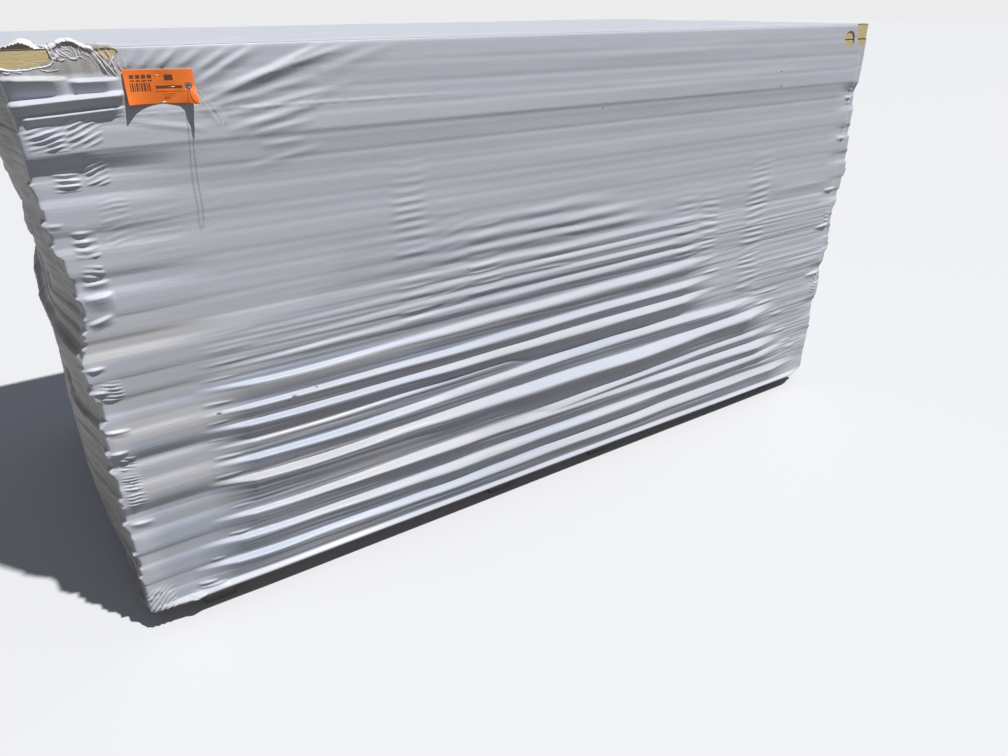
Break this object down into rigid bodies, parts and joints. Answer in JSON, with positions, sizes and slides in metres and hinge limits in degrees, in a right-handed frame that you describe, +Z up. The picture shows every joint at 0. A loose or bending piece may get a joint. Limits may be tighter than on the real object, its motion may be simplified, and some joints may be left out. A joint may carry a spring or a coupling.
{
  "type": "bundle of polyiso insulation boards",
  "caption": "Film-wrapped bundle of rigid foam insulation boards standing on foam runners, with a card lot tag on a string near one upper corner.",
  "frame": {"origin": "the middle of the bundle's footprint, on the floor that its runners stand on", "axes": "+X along the long side of the boards, -Y out of the long face that carries the tag, +Z up"},
  "size_m": [2.4768, 1.3149, 1.302],
  "materials": {
    "faced_foam": "matte",
    "runner_foam": "matte",
    "wrap_film": "glossy",
    "tag_card": "matte",
    "eyelet_washer": "matte",
    "string": "matte"
  },
  "bodies": {
    "root": {"board_01": "faced_foam", "board_02": "faced_foam", "board_03": "faced_foam", "board_04": "faced_foam", "board_05": "faced_foam", "board_06": "faced_foam", "board_07": "faced_foam", "board_08": "faced_foam", "board_09": "faced_foam", "board_10": "faced_foam", "board_11": "faced_foam", "board_12": "faced_foam", "board_13": "faced_foam", "board_14": "faced_foam", "board_15": "faced_foam", "board_16": "faced_foam", "board_17": "faced_foam", "board_18": "faced_foam", "board_19": "faced_foam", "board_20": "faced_foam", "board_21": "faced_foam", "board_22": "faced_foam", "board_23": "faced_foam", "board_24": "faced_foam", "board_25": "faced_foam", "board_26": "faced_foam", "board_27": "faced_foam", "board_28": "faced_foam", "runner_1": "runner_foam", "runner_2": "runner_foam", "runner_3": "runner_foam", "runner_4": "runner_foam", "bundle_wrap": "wrap_film", "lot_tag": "tag_card", "tag_eyelet": "eyelet_washer", "tag_string": "string"}
  },
  "joints": []
}
